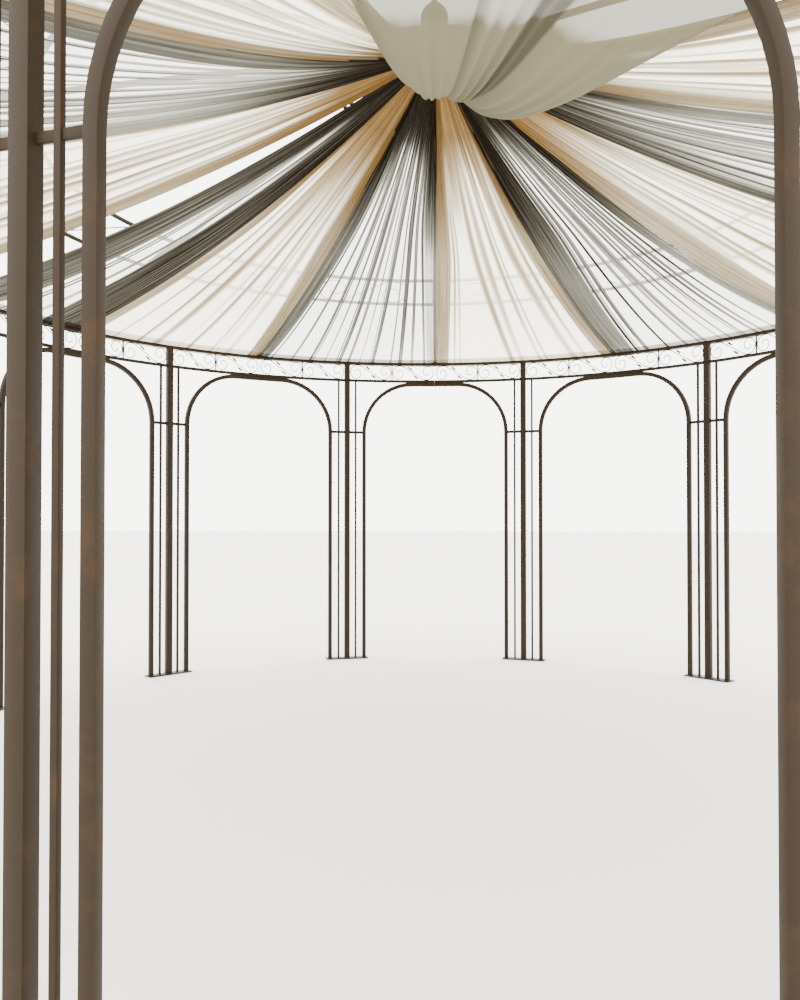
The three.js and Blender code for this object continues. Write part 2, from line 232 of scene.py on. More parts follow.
def start_bar(side, place, heading, softness):
    """Start a bar with a square face with softened corners, square to its heading."""
    bpy.ops.object.select_all(action="DESELECT")
    turn = Vector(heading).to_track_quat("Z", "Y").to_euler()
    bpy.ops.mesh.primitive_plane_add(size=side, location=place, rotation=turn)
    open_mesh()
    bpy.ops.mesh.bevel(offset=softness, segments=2, affect="VERTICES")
    bpy.ops.mesh.select_all(action="SELECT")


def carry(step, times=1):
    """Extrude the selected face by a step, once or several times."""
    for _ in range(times):
        bpy.ops.mesh.extrude_region_move(TRANSFORM_OT_translate={"value": tuple(step)})


def swing(centre, axis, angle, steps):
    """Swing the selected face about an axis, right-handed, and leave a bar behind it."""
    bpy.ops.mesh.spin(steps=steps, angle=-angle, center=centre, axis=axis)


def end_bar():
    """Turn all faces outwards and go back to object mode."""
    bpy.ops.mesh.select_all(action="SELECT")
    bpy.ops.mesh.normals_make_consistent(inside=False)
    bpy.ops.object.mode_set(mode="OBJECT")
    return bpy.context.object


def straight_bar(side, place, run, softness, steps=1):
    """A square bar from a place along a run, in one or several steps."""
    start_bar(side, place, run, softness)
    carry(Vector(run) / steps, steps)
    return end_bar()


def block(low, high, softness):
    """A block between two corners, with softened edges."""
    low, high = Vector(low), Vector(high)
    bpy.ops.object.select_all(action="DESELECT")
    bpy.ops.mesh.primitive_cube_add(size=1, location=(low + high) / 2, scale=high - low)
    open_mesh()
    bpy.ops.mesh.bevel(offset=softness, segments=2, affect="EDGES")
    return end_bar()


def turned_profile(profile):
    """A round piece from (radius, height) pairs: a disc is extruded upwards and resized."""
    radius, height = profile[0]
    bpy.ops.object.select_all(action="DESELECT")
    bpy.ops.mesh.primitive_circle_add(
        vertices=ROUND_SIDES, radius=radius, location=(0, 0, height), fill_type="NGON"
    )
    open_mesh()
    for next_radius, next_height in profile[1:]:
        carry((0, 0, next_height - height))
        share = next_radius / radius
        bpy.ops.transform.resize(value=(share, share, 1), center_override=(0, 0, next_height))
        radius, height = next_radius, next_height
    return end_bar()


def full_ring(radius, height, side, softness):
    """A square bar bent into a whole ring."""
    start_bar(side, (0, radius, height), (1, 0, 0), softness)
    bpy.ops.mesh.spin(
        steps=RING_STEPS, angle=2 * math.pi, center=(0, 0, 0), axis=(0, 0, 1), use_auto_merge=True
    )
    return end_bar()


def joined(pieces, name):
    """Join pieces into one and name it."""
    leave_only(*pieces)
    bpy.ops.object.join()
    obj = bpy.context.object
    obj.name = name
    obj.data.name = name
    return obj


def copied(obj, offset=(0, 0, 0), turn=0.0):
    """A copy with its own mesh, moved and then turned about the middle of the canopy."""
    leave_only(obj)
    bpy.ops.object.duplicate()
    copy = bpy.context.object
    copy.location = offset
    bpy.ops.object.transform_apply(location=True, rotation=False, scale=False)
    copy.rotation_euler.z = turn
    place_in_mesh()
    return copy


def turned_copies(piece, turns):
    """Copies of a piece, one for each turn, that take the place of the piece itself."""
    copies = [copied(piece, turn=turn) for turn in turns]
    bpy.data.objects.remove(piece)
    return copies


def bend_to_ring(obj, radius):
    """Bend a flat piece, laid out along X, to a ring with its middle at the front."""
    leave_only(obj)
    length = obj.dimensions.x
    bpy.ops.object.modifier_add(type="SIMPLE_DEFORM")
    bend = obj.modifiers[-1]
    bend.deform_method = "BEND"
    bend.deform_axis = "Z"
    bend.angle = length / radius
    bpy.ops.object.modifier_apply(modifier=bend.name)
    obj.location = (0, -radius, 0)
    place_in_mesh()


def smooth(obj):
    """Shade the rounded faces smooth and keep the crisp edges."""
    leave_only(obj)
    bpy.ops.object.shade_smooth_by_angle(angle=math.radians(35))


def finish_iron(obj, finish, cad_name):
    """Give a piece of ironwork its finish and let it stand for its CAD node."""
    smooth(obj)
    obj.data.materials.clear()
    obj.data.materials.append(finish)
    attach(obj, "root")
    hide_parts(cad_name)


def set_in_ring(piece, name, cad_names, first_turn, pitch, finish):
    """Give every CAD node of one kind its copy of a piece, turned to its place in the ring."""
    turns = [first_turn - i * pitch for i in range(len(cad_names))]
    for copy, cad_name in zip(turned_copies(piece, turns), cad_names):
        copy.name = f"{name}_{cad_name.rsplit('_', 1)[1]}"
        finish_iron(copy, finish, cad_name)


# Scrolls with three arcs at each end, and the small iron leaves on them
SPIRAL_SHRINK = (1.0, 0.68, 0.4)
SPIRAL_TURNS = tuple(math.radians(angle) for angle in (165, 175, 150))
SPIRAL_STEP = math.radians(22)
LEAF_LENGTH, LEAF_WIDTH, LEAF_THICKNESS = 0.048, 0.014, 0.003
LEAF_SLOPE = math.radians(38)
LEAF_TOP = (0.7, 1, 0.3)
LEAF_PLACE = (0.022, 0.033)


def s_scroll(spiral_radius, spiral_centre, wire_radius, sides=6):
    """An S-scroll in the XZ plane: a straight middle that runs into a spiral at each end."""
    slope = math.asin(spiral_radius / spiral_centre)
    reach = math.sqrt(spiral_centre**2 - spiral_radius**2)
    heading = Vector((math.cos(slope), 0, math.sin(slope)))
    bpy.ops.object.select_all(action="DESELECT")
    bpy.ops.mesh.primitive_cylinder_add(
        vertices=sides, radius=wire_radius, depth=2 * reach,
        rotation=heading.to_track_quat("Z", "Y").to_euler(),
    )
    place_in_mesh()
    wire = bpy.context.object
    for side in (1, -1):
        select_faces(wire, lambda face: face.normal.dot(heading) * side > 0.99)
        end = heading * reach * side
        centre = Vector((spiral_centre * side, 0, 0))
        last_share = 1.0
        for share, turn in zip(SPIRAL_SHRINK, SPIRAL_TURNS):
            centre = end + (centre - end) * share / last_share
            swing(centre, (0, 1, 0), turn, round(turn / SPIRAL_STEP))
            arm = end - centre
            end = centre + Vector((
                arm.x * math.cos(turn) + arm.z * math.sin(turn), 0,
                arm.z * math.cos(turn) - arm.x * math.sin(turn),
            ))
            last_share = share
        bpy.ops.object.mode_set(mode="OBJECT")
    bpy.ops.object.mode_set(mode="EDIT")
    return end_bar()


def select_faces(obj, wanted):
    """Open a piece in edit mode with only the wanted faces selected."""
    mesh = obj.data
    for group in (mesh.vertices, mesh.edges, mesh.polygons):
        for element in group:
            element.select = False
    for face in mesh.polygons:
        if wanted(face):
            face.select = True
            for index in face.vertices:
                mesh.vertices[index].select = True
    leave_only(obj)
    bpy.ops.object.mode_set(mode="EDIT")
    bpy.ops.mesh.select_mode(type="FACE")


def iron_leaf(place):
    """A small pointed leaf of sheet iron in the XZ plane, raised along its middle."""
    bpy.ops.object.select_all(action="DESELECT")
    bpy.ops.mesh.primitive_circle_add(
        vertices=8, radius=0.5, fill_type="NGON", rotation=(math.pi / 2, 0, 0)
    )
    open_mesh()
    bpy.ops.transform.resize(value=(LEAF_LENGTH, 1, LEAF_WIDTH))
    carry((0, LEAF_THICKNESS, 0))
    bpy.ops.transform.resize(value=LEAF_TOP)
    leaf = end_bar()
    leaf.rotation_euler.y = -LEAF_SLOPE
    leaf.location = place
    place_in_mesh()
    return leaf


# Finishes
CLOTH_MAP = "flat_cloth"


class Value:
    """One socket of a finish. Python arithmetic on it adds Math nodes."""

    def __init__(self, finish, socket):
        self.finish = finish
        self.socket = socket

    def _math(self, operation, first, second, clamp=False):
        settings = {"operation": operation, "use_clamp": clamp}
        return self.finish.node("ShaderNodeMath", settings, {0: first, 1: second})

    def __add__(self, other):
        return self._math("ADD", self, other)

    __radd__ = __add__

    def __sub__(self, other):
        return self._math("SUBTRACT", self, other)

    def __rsub__(self, other):
        return self._math("SUBTRACT", other, self)

    def __mul__(self, other):
        return self._math("MULTIPLY", self, other)

    __rmul__ = __mul__

    def __pow__(self, other):
        return self._math("POWER", self, other)

    def clamped(self):
        return self._math("ADD", self, 0.0, clamp=True)

    def between(self, low, high):
        """0 below low, 1 above high and a smooth step from one to the other."""
        settings = {"interpolation_type": "SMOOTHSTEP"}
        values = {"Value": self, "From Min": low, "From Max": high}
        return self.finish.node("ShaderNodeMapRange", settings, values)


class Finish:
    """A procedural material that is built up node by node."""

    def __init__(self, name):
        self.material = bpy.data.materials.new(name)
        self.material.use_nodes = True
        self.tree = self.material.node_tree
        self.tree.nodes.clear()

    def node(self, kind, settings=None, values=None, output=0):
        """Add a node: its settings first, then the values or links of its sockets."""
        node = self.tree.nodes.new(kind)
        for name, setting in (settings or {}).items():
            setattr(node, name, setting)
        for key, value in (values or {}).items():
            self.feed(node.inputs[key], value)
        return Value(self, node.outputs[output])

    def feed(self, socket, value):
        if isinstance(value, Value):
            self.tree.links.new(value.socket, socket)
        elif hasattr(value, "__len__") and len(value) == 3 and len(socket.default_value) == 4:
            socket.default_value = (*value, 1.0)
        else:
            socket.default_value = value

    def object_place(self):
        return self.node("ShaderNodeTexCoord", output="Object")

    def cloth_noise(self, across, along, detail, roughness=0.5):
        """Noise on the flat cloth, with so many marks a metre across and along it."""
        flat = self.node("ShaderNodeUVMap", {"uv_map": CLOTH_MAP})
        scale = (across, along, 1.0)
        place = self.node("ShaderNodeMapping", None, {"Vector": flat, "Scale": scale})
        return self.noise(place, 1.0, detail, roughness)

    def attribute(self, name):
        return self.node("ShaderNodeAttribute", {"attribute_name": name}, output="Fac")

    def noise(self, place, scale, detail, roughness=0.5):
        values = {"Vector": place, "Scale": scale, "Detail": detail, "Roughness": roughness}
        return self.node("ShaderNodeTexNoise", None, values)

    def colour_mix(self, share, first, second):
        values = {0: share, 6: first, 7: second}
        return self.node("ShaderNodeMix", {"data_type": "RGBA"}, values, output=2)

    def surface(self, colour, roughness, shine, **more):
        """The main surface of a finish, with any more of its values or links by name."""
        values = {"Base Color": colour, "Roughness": roughness, "Specular IOR Level": shine}
        return self.node("ShaderNodeBsdfPrincipled", None, values | more)

    def glow(self, colour):
        """Light that shines through thin cloth."""
        return self.node("ShaderNodeBsdfTranslucent", None, {"Color": colour})

    def bump(self, height, strength, distance):
        values = {"Height": height, "Strength": strength, "Distance": distance}
        return self.node("ShaderNodeBump", None, values)

    def shader_mix(self, share, first, second):
        return self.node("ShaderNodeMixShader", None, {0: share, 1: first, 2: second})

    def let_through(self, cover, body):
        """A surface that is clear where cover is 0."""
        return self.shader_mix(cover, self.node("ShaderNodeBsdfTransparent"), body)

    def done(self, surface):
        output = self.tree.nodes.new("ShaderNodeOutputMaterial")
        self.feed(output.inputs["Surface"], surface)
        return self.material


def old_iron(colours):
    """Dark brown painted iron with rusty patches and a fine grain."""
    finish = Finish("old_iron")
    place = finish.object_place()
    patches = finish.noise(place, 11.0, 5.0, 0.62).between(0.5, 0.72)
    grain = finish.noise(place, 170.0, 2.0)
    wear = (patches * 0.5 + grain * 0.25 - 0.1).clamped()
    colour = finish.colour_mix(wear, colours.iron, colours.rust)
    pitting = finish.bump(grain * 0.6 + patches * 0.4, 0.35, 0.0012)
    return finish.done(finish.surface(colour, wear * 0.3 + 0.5, 0.1, Normal=pitting))


def sheer_cloth(name, folds, spread, look):
    """Thin cloth: nearly clear where it is one layer, dense and deep in colour where it is gathered."""
    finish = Finish(name)
    gather = finish.attribute("gather")
    hem = finish.attribute("hem")
    threads = finish.cloth_noise(120.0, 0.3, 2.0, 0.55).between(0.56, 0.64)
    streaks = finish.cloth_noise(260.0, 0.9, 3.0, 0.6).between(0.3, 0.7)
    weave = finish.cloth_noise(900.0, 900.0, 1.0)
    lines = threads * (1.0 - gather) * look["thread_tone"]
    layers = (gather + lines + hem * 0.2 + (streaks - 0.55) * gather * 0.65).clamped()
    density = 1.0 - (1.0 - layers) ** 2.2
    colour = finish.colour_mix(density, spread, folds)
    cloth = finish.surface(colour, 0.85, 0.05, Normal=finish.bump(weave, 0.12, 0.0004))
    glow = finish.shader_mix(density, finish.glow(look["thin_glow"]), finish.glow(look["deep_glow"]))
    body = finish.shader_mix(density * 0.65 + 0.1, glow, cloth)
    cover = (density * look["closing"] + hem * 0.4 + look["veil"]).clamped()
    return finish.done(finish.let_through(cover, body))


MUSLIN_GLOW = (0.086, 0.079, 0.05)


def slubbed_muslin(colours):
    """Heavier greige cloth with thick and thin threads across it, darkened by painted shade in its
    valleys and creases.
    """
    finish = Finish("slubbed_muslin")
    gather = finish.attribute("gather")
    hem = finish.attribute("hem")
    slubs = finish.cloth_noise(7.0, 210.0, 3.0, 0.65).between(0.3, 0.75)
    threads = finish.cloth_noise(320.0, 9.0, 2.0)
    # On the muslin, gather carries painted shade in the valleys, on the turned-away sides of the lobes
    # and in the creases, along with the real gathers at the crown; it darkens the colour, dims the glow
    # and closes the cloth a little
    density = (gather * 0.9 + slubs * (1.0 - gather) * 0.2).clamped()
    colour = finish.colour_mix(density, colours.muslin_spread, colours.muslin_shade_and_gathers)
    weave = finish.bump(slubs * 0.7 + threads * 0.3, 0.35, 0.0008)
    cloth = finish.surface(colour, 0.9, 0.1, Normal=weave)
    body = finish.shader_mix(density * 0.45 + 0.5, finish.glow(MUSLIN_GLOW), cloth)
    cover = (slubs * 0.03 + gather * 0.1 + hem * 0.14 + 0.86).clamped()
    return finish.done(finish.let_through(cover, body))


def iron_finish(context):
    """The finish that all the ironwork shares, which is built once."""
    return bpy.data.materials.get("old_iron") or old_iron(context.scene.canopy_finish)


# Gathered cloth, laid as a grid of rows from the crown to the eave
PANEL_OVERLAP, MOST_OVERLAP = 0.011, 0.03
CLOTH_INNER_RADIUS = 0.045
HEM_START, HEM_FULL = 0.975, 0.98
RUN_ROWS = 54
BUNDLE_FOLDS = 4
BUNDLE_TALL, BUNDLE_SAG, STRIP_SAG = 0.012, 0.012, 0.006
SWAG_ROWS = 60
LOBE_COLUMNS = 34
LOBE_CREASES = 5
DOUBLED_TO, SINGLE_FROM = 1.35, 1.5


def smooth_step(value, low, high):
    share = np.clip((value - low) / (high - low), 0, 1)
    return share * share * (3 - 2 * share)


def hem_wrap(iron, layer):
    """Radius and height of the rows that carry the hem over the upper rail and down outside it."""
    half = iron.rail_side / 2
    lift = 0.004 - layer / 6
    inner = iron.ring_radius - half
    outer = iron.ring_radius + half
    return [
        (inner + 0.003, FRIEZE_TOP + lift),
        (iron.ring_radius, FRIEZE_TOP + lift * 1.3),
        (outer - 0.002, FRIEZE_TOP + lift),
        (outer + lift, FRIEZE_TOP - 0.003),
        (outer + lift * 1.4, FRIEZE_TOP - 0.014),
        (outer + lift, FRIEZE_TOP - 0.026),
    ]


def cloth_rows(run, wrap, sag=0.0):
    """Radius, height, share of the run and way along the cloth of each row, hub to hem."""
    outer, eave = wrap[0]
    radius = CLOTH_INNER_RADIUS + (outer - CLOTH_INNER_RADIUS) * run
    height = CLOTH_CROWN_HEIGHT + (eave - CLOTH_CROWN_HEIGHT) * run - 4 * sag * run * (1 - run)
    over_rail = np.array(wrap[1:])
    radius = np.append(radius, over_rail[:, 0])
    height = np.append(height, over_rail[:, 1])
    on_run = np.append(run, np.ones(len(over_rail)))
    along = np.append(0, np.cumsum(np.hypot(np.diff(radius), np.diff(height))))
    return (row[:, None] for row in (radius, height, on_run, along))


def cloth_grid(name, places, flat, gather, hem):
    """A sheet of cloth from a grid of places, with its flat coordinates, its hem and its gather, which
    sets its density and, on the muslin, also carries painted shade.
    """
    rows, columns = places.shape[:2]
    index = np.arange(rows * columns).reshape(rows, columns)
    corners = (index[:-1, :-1], index[:-1, 1:], index[1:, 1:], index[1:, :-1])
    faces = np.stack(corners, axis=-1).reshape(-1, 4)
    mesh = bpy.data.meshes.new(name)
    mesh.from_pydata(places.reshape(-1, 3).tolist(), [], faces.tolist())
    layer = mesh.uv_layers.new(name=CLOTH_MAP)
    flat = np.stack(np.broadcast_arrays(*flat), axis=-1)
    layer.data.foreach_set("uv", flat.reshape(-1, 2)[faces.ravel()].astype(np.float32).ravel())
    for label, amount in (("gather", gather), ("hem", hem)):
        attribute = mesh.attributes.new(label, "FLOAT", "POINT")
        amount = np.broadcast_to(amount, (rows, columns))
        attribute.data.foreach_set("value", amount.astype(np.float32).ravel())
    mesh.polygons.foreach_set("use_smooth", [True] * len(mesh.polygons))
    obj = bpy.data.objects.new(name, mesh)
    bpy.context.scene.collection.objects.link(obj)
    return obj


def on_roof(azimuth, radius, height, lift=0.0):
    """Places on the roof, each raised square to its slope by lift."""
    tilt = math.radians(16)
    radius = radius + lift * math.sin(tilt)
    height = height + lift * math.cos(tilt)
    return np.stack([radius * np.sin(azimuth), radius * np.cos(azimuth), height + 0 * azimuth], axis=-1)


# Columns of the grid across a strip of each kind. Clear strips change right at their edges.
STRIP_COLUMNS = {
    "left bundle": np.arange(20) / 20,
    "right bundle": np.arange(20) / 20,
    "pleat": np.array((0.0, 0.12, 0.3, 0.5, 0.7, 0.88)),
    "clear": np.array((0.02, 0.35, 0.65, 0.98)),
}
CLEAR_WEIGHTS = (0.1, 0.35, 0.8, 1.4)
# Spreads that a pleat's or a clear strip's own sizes are drawn from
PLEAT_WIDTH_SPREAD = (0.8, 1.25)
PLEAT_TONE_SPREAD = (0.55, 1.0)
PLEAT_TALL = (0.005, 0.011)
PLEAT_END = (0.85, 1.4)
CLEAR_SPREAD = (0.7, 1.3)
CROWD_SPREAD = (0.5, 1.2)
# A fold with this end runs over the whole panel
NO_END = 2.0


class PleatPlan:
    """How the cloth of one sheer panel is shared out across its width."""

    def __init__(self, look, random):
        self.kinds = []
        self.strips = []
        left, right = (random.uniform(*look[side]) for side in ("left_edge", "right_edge"))
        self._bundle("left bundle", left)
        self._clear(random)
        for _ in range(look["pleats"]):
            width = random.choice(look["pleat_widths"]) * random.uniform(*PLEAT_WIDTH_SPREAD)
            tone = look["pleat_tone"] * random.uniform(*PLEAT_TONE_SPREAD)
            tall = random.uniform(*PLEAT_TALL)
            self._add("pleat", width, 0, tall, random.uniform(*PLEAT_END), tone)
            self._clear(random)
        self._bundle("right bundle", right)

    def _add(self, kind, width, weight, tall, end, tone):
        self.kinds.append(kind)
        self.strips.append((width, weight, tall, end, tone))

    def _bundle(self, kind, width):
        self._add(kind, width, 0, BUNDLE_TALL, NO_END, 1.0)

    def _clear(self, random):
        weight = random.choice(CLEAR_WEIGHTS) * random.uniform(*CLEAR_SPREAD)
        self._add("clear", 0, weight, 0, NO_END, 0)

    def across(self):
        """Strip number and place in its strip for every column, and the strips' sizes as columns."""
        places = [STRIP_COLUMNS[kind] for kind in self.kinds]
        strip = np.repeat(np.arange(len(places)), [len(place) for place in places])
        strip = np.append(strip, len(places) - 1)
        local = np.append(np.concatenate(places), 1.0)
        return strip, local, np.array(self.strips).T


def strip_widths(width, fixed, weights, least_share):
    """Width of each strip in each row: clear cloth gives way first, then all the rest is squeezed."""
    least_clear = least_share * width
    spare = width - fixed.sum() - least_clear
    clear = least_clear + (spare + np.hypot(spare, 0.06)) / 2
    return fixed * (width - clear) / fixed.sum() + weights / weights.sum() * clear


def sheer_panel(name, start_angle, end_angle, look, cloth, iron, random):
    """A sheer panel: bundles along both sides, narrow pleats and clear cloth between them."""
    plan = PleatPlan(look, random)
    strip, local, (fixed, weights, *sizes) = plan.across()
    tall, ends, tone = (size[strip] for size in sizes)
    run = np.append(np.linspace(0, HEM_START, RUN_ROWS - 1), (HEM_FULL, 1.0))
    wrap = hem_wrap(iron, look["layer"])
    radius, height, on_run, along = cloth_rows(run, wrap, cloth.sheer_sag + look["layer"])

    overlap = np.minimum(PANEL_OVERLAP, radius * MOST_OVERLAP)
    width = radius * (end_angle - start_angle) + 2 * overlap
    each = strip_widths(width, fixed, weights, look["least_clear"])
    start = np.cumsum(each, axis=1) - each
    across = start[:, strip] + local * each[:, strip]
    angle = start_angle + (across - overlap) / radius

    kinds = np.array(plan.kinds)[strip]
    is_left, is_pleat = kinds == "left bundle", kinds == "pleat"
    is_bundle = is_left | (kinds == "right bundle")
    full, reach = look["crowded"]
    ends_at = reach * random.uniform(*CROWD_SPREAD, len(fixed))[strip]
    crowd = (1 - smooth_step(radius, full, ends_at)) ** 3
    fade = 1 - smooth_step(on_run, ends - 0.5, ends)
    bow = np.sin(math.pi * on_run)
    rest = 1 - smooth_step(on_run, 0.94, 1.0)
    ridge = np.sin(math.pi * local)
    folds = np.sin(2 * math.pi * BUNDLE_FOLDS * local + random.uniform(0, 6))
    bow = bow * ridge
    lift = np.where(is_bundle, tall * folds - BUNDLE_SAG * bow, -STRIP_SAG * bow)
    lift = np.where(is_pleat, tall * ridge * np.maximum(fade, crowd), lift)

    left_fade, right_fade = look["edge_fade"]
    loosened = 1 - np.where(is_left, left_fade, right_fade) * smooth_step(on_run, *look["loosens"])
    from_inner_side = np.where(is_left, 1 - local, local)
    bundle_tone = (0.96 + 0.04 * folds) * loosened
    bundle_tone = bundle_tone * (0.6 + 0.4 * smooth_step(from_inner_side, 0.0, 0.15))
    across_pleat = 0.6 + 0.4 * np.abs(2 * local - 1) if look["crisp"] else ridge**1.5
    pleat_tone = tone * (look["last_tone"] + (1 - look["last_tone"]) * fade) * across_pleat
    gather = np.where(is_bundle, bundle_tone, np.where(is_pleat, pleat_tone, 0.0))
    gather = np.maximum(gather, crowd * (0.85 + 0.15 * ridge))

    cut_width = cloth.cut_width * (end_angle - start_angle) / PITCH
    flat = (across[-1] / width[-1] * cut_width, along)
    hem = smooth_step(on_run, HEM_START, HEM_FULL)
    places = on_roof(angle, radius, height, lift * (0.08 + 0.92 * rest))
    return cloth_grid(name, places, flat, gather, hem)


def swag_depth(run, from_crown, from_eave):
    """A sag that is 1 at its lowest; the two powers move that place along the run."""
    lowest = from_crown / (from_crown + from_eave)
    shape = run**from_crown * (1 - run) ** from_eave
    return shape / (lowest**from_crown * (1 - lowest) ** from_eave)


def muslin_swag(name, valleys, lobes, cloth, iron, random):
    """Heavier cloth that hangs in lobes between the valleys where it is caught up.

    It is doubled near the crown, as it is at the hem.
    Each lobe has its own sag, its own place where it hangs lowest, and its own painted shade on both
    sides; painted shade also darkens its creases.
    """
    run = np.linspace(0, 1, SWAG_ROWS)
    radius, height, on_run, along = cloth_rows(run, hem_wrap(iron, 0.015))
    valleys = np.radians(valleys)
    span = np.diff(valleys)
    lobe = np.append(np.repeat(np.arange(len(span)), LOBE_COLUMNS), len(span) - 1)
    local = np.append(np.tile(np.arange(LOBE_COLUMNS) / LOBE_COLUMNS, len(span)), 1.0)
    angle = valleys[lobe] + local * span[lobe]
    part = {key: np.array([one[key] for one in lobes])[lobe] for key in lobes[0]}

    main = cloth.swag_sag * swag_depth(on_run, 1.0, 2.9)
    tighter = 1 - 0.15 * smooth_step(angle, valleys[-1] - math.radians(7), valleys[-1])
    belly = swag_depth(local, 1.3 * part["lowest"], 1.3 * (1 - part["lowest"]))
    bulge = cloth.swag_lobe * part["sag"] * belly * swag_depth(on_run, 0.9, 2.6)
    phase = random.uniform(0, 6, len(span))[lobe]
    creases = np.sin(2 * math.pi * LOBE_CREASES * local + phase) * np.sin(math.pi * local)
    crease_size = 0.004 * (1 - smooth_step(on_run, 0.1, 0.8)) + 0.0015
    rest = 1 - smooth_step(on_run, 0.95, 1.0)
    sag = (-main * tighter - bulge + creases * crease_size * (1 + 4 * part["creases"])) * rest

    crowd = 1 - smooth_step(radius, 0.1, 0.42)
    # Painted shade on the start and the end of each lobe, where its side turns away from the light
    start_shade = part["start_shade"] * (1 - smooth_step(local, 0.2, 0.55))
    end_shade = part["end_shade"] * (1 - smooth_step(1 - local, 0.0, 0.25))
    # gather here holds that painted shade and the real gathers near the crown, which carry painted
    # shade in their creases
    gather = np.maximum(np.maximum(start_shade, end_shade) * rest, crowd * (0.55 + 0.2 * creases))
    # Painted shade in the creases, stronger near the crown
    gather = np.clip(gather + part["creases"] * creases * (0.6 + crowd), 0, 1)

    flat = (np.linspace(0, 1, len(local)) * cloth.cut_width, along)
    hem = smooth_step(on_run, HEM_START, HEM_FULL)
    doubled = 1 - smooth_step(radius, DOUBLED_TO, SINGLE_FROM)
    places = on_roof(angle, radius, height)
    places[..., 2] += sag
    return cloth_grid(name, places, flat, gather, np.maximum(hem, doubled))


def hang_cloth(obj, cut_width, cloth, finish, cad_name):
    """Give a panel its finish and its place in the frame, and hide its CAD node; its flat area is
    worked out but not used.
    """
    obj.data.materials.append(finish)
    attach(obj, "root")
    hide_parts(cad_name)
    area = cut_width * cloth.cut_length * cloth.cut_share


# Operators, one for each kind of piece
class CANOPY_OT_column_frames(bpy.types.Operator):
    """Add the twelve column frames with the half arches that they carry."""

    bl_idname = "canopy.column_frames"
    bl_label = "Column Frames"

    def execute(self, context):
        iron = context.scene.canopy_iron
        softness = iron.edge_softness
        base = iron.foot_thickness / 2
        run = (0, 0, ARCH_TOP - base)
        pieces = [self.foot(iron), straight_bar(iron.post_side, (0, 0, base), run, softness)]
        for side in (-1, 1):
            foot = (side * iron.leg_offset / 2, 0, base)
            pieces.append(straight_bar(iron.thin_bar_side, foot, run, softness / 2))
            pieces.append(self.arch_leg(iron, side, base))
        spring = ARCH_TOP - iron.leg_side / 2 - iron.arch_radius
        half_tie, half_height = iron.thin_bar_side * 0.3, 0.01
        low = (-iron.leg_offset, -half_tie, spring - half_height)
        high = (iron.leg_offset, half_tie, spring + half_height)
        pieces.append(block(low, high, TIE_SOFTNESS))
        column = joined(pieces, "column")
        bend_to_ring(column, iron.ring_radius)
        first_turn = math.pi - FIRST_COLUMN
        set_in_ring(column, "column_frame", COLUMN_NAMES, first_turn, PITCH, iron_finish(context))
        return {"FINISHED"}

    def foot(self, iron):
        margin = 0.015
        half_width = iron.leg_offset + iron.leg_side / 2 + margin
        half_depth = iron.foot_depth / 2
        high = (half_width, half_depth, iron.foot_thickness)
        return block((-half_width, -half_depth, 0), high, PLATE_SOFTNESS)

    def arch_leg(self, iron, side, base):
        """A leg that bends over into half an arch and runs on to the middle of the bay."""
        spring = ARCH_TOP - iron.leg_side / 2 - iron.arch_radius
        bend_middle = side * (iron.leg_offset + iron.arch_radius)
        half_bay = iron.ring_radius * PITCH / 2 - ARCH_END_GAP
        runs = 3
        start_bar(iron.leg_side, (side * iron.leg_offset, 0, base), (0, 0, 1), iron.edge_softness)
        carry((0, 0, spring - base))
        swing((bend_middle, 0, spring), (0, side, 0), math.pi / 2, ARCH_STEPS)
        carry((side * (half_bay - abs(bend_middle)) / runs, 0, 0), runs)
        return end_bar()


class CANOPY_OT_eave_friezes(bpy.types.Operator):
    """Add the four quarters of the eave frieze: rails, stub posts, S-scrolls, ties and leaves."""

    bl_idname = "canopy.eave_friezes"
    bl_label = "Eave Frieze"

    def execute(self, context):
        iron = context.scene.canopy_iron
        cell = iron.ring_radius * PITCH
        low = FRIEZE_LOW + iron.rail_side / 2
        high = FRIEZE_TOP - iron.rail_side / 2
        rail_length = BAYS_IN_QUARTER * cell - SEAT_GAP
        pieces = [self.rail(iron, rail_length, height) for height in (low, high)]
        bay = self.bay(iron, cell / 2, low, high)
        for i in range(BAYS_IN_QUARTER):
            pieces.append(copied(bay, offset=((i - (BAYS_IN_QUARTER - 1) / 2) * cell, 0, 0)))
        bpy.data.objects.remove(bay)
        frieze = joined(pieces, "frieze")
        bend_to_ring(frieze, iron.ring_radius)
        first_turn = math.pi - QUARTER / 2
        set_in_ring(frieze, "eave_rails", FRIEZE_NAMES, first_turn, QUARTER, iron_finish(context))
        return {"FINISHED"}

    def rail(self, iron, length, height):
        start, run = (-length / 2, 0, height), (length, 0, 0)
        return straight_bar(iron.rail_side, start, run, iron.edge_softness, QUARTER_STEPS)

    def bay(self, iron, half_bay, low, high):
        """A stub post over the column, and two S-scrolls, a tie and four leaves each side."""
        scrolls_per_side = 2
        half_tie, bite, scroll_bite = 0.004, 0.002, 0.0006
        leaf_x, leaf_z = LEAF_PLACE
        middle = (low + high) / 2
        half_post = iron.post_side / 2
        clear = half_bay - half_post - half_tie
        unit = clear / scrolls_per_side
        spiral = (high - low - iron.rail_side) / 2 - iron.wire_radius + scroll_bite
        spiral_centre = unit / 2 - spiral - iron.wire_radius - half_tie
        post_high = (half_post, half_post, high - iron.rail_side / 2 + bite)
        pieces = [block((-half_post, -half_post, low), post_high, iron.edge_softness)]
        scroll = s_scroll(spiral, spiral_centre, iron.wire_radius)
        for side in (-1, 1):
            for i in range(scrolls_per_side):
                middle_x = side * (half_post + (i + 0.5) * unit)
                pieces.append(copied(scroll, offset=(middle_x, 0, middle)))
                for end in (-1, 1):
                    place = (middle_x + end * leaf_x, 0, middle + end * leaf_z)
                    pieces.append(iron_leaf(place))
            tie_x = side * (half_post + unit)
            tie_high = (tie_x + half_tie, half_tie, high)
            pieces.append(block((tie_x - half_tie, -half_tie, low), tie_high, TIE_SOFTNESS))
        bpy.data.objects.remove(scroll)
        return joined(pieces, "frieze_bay")


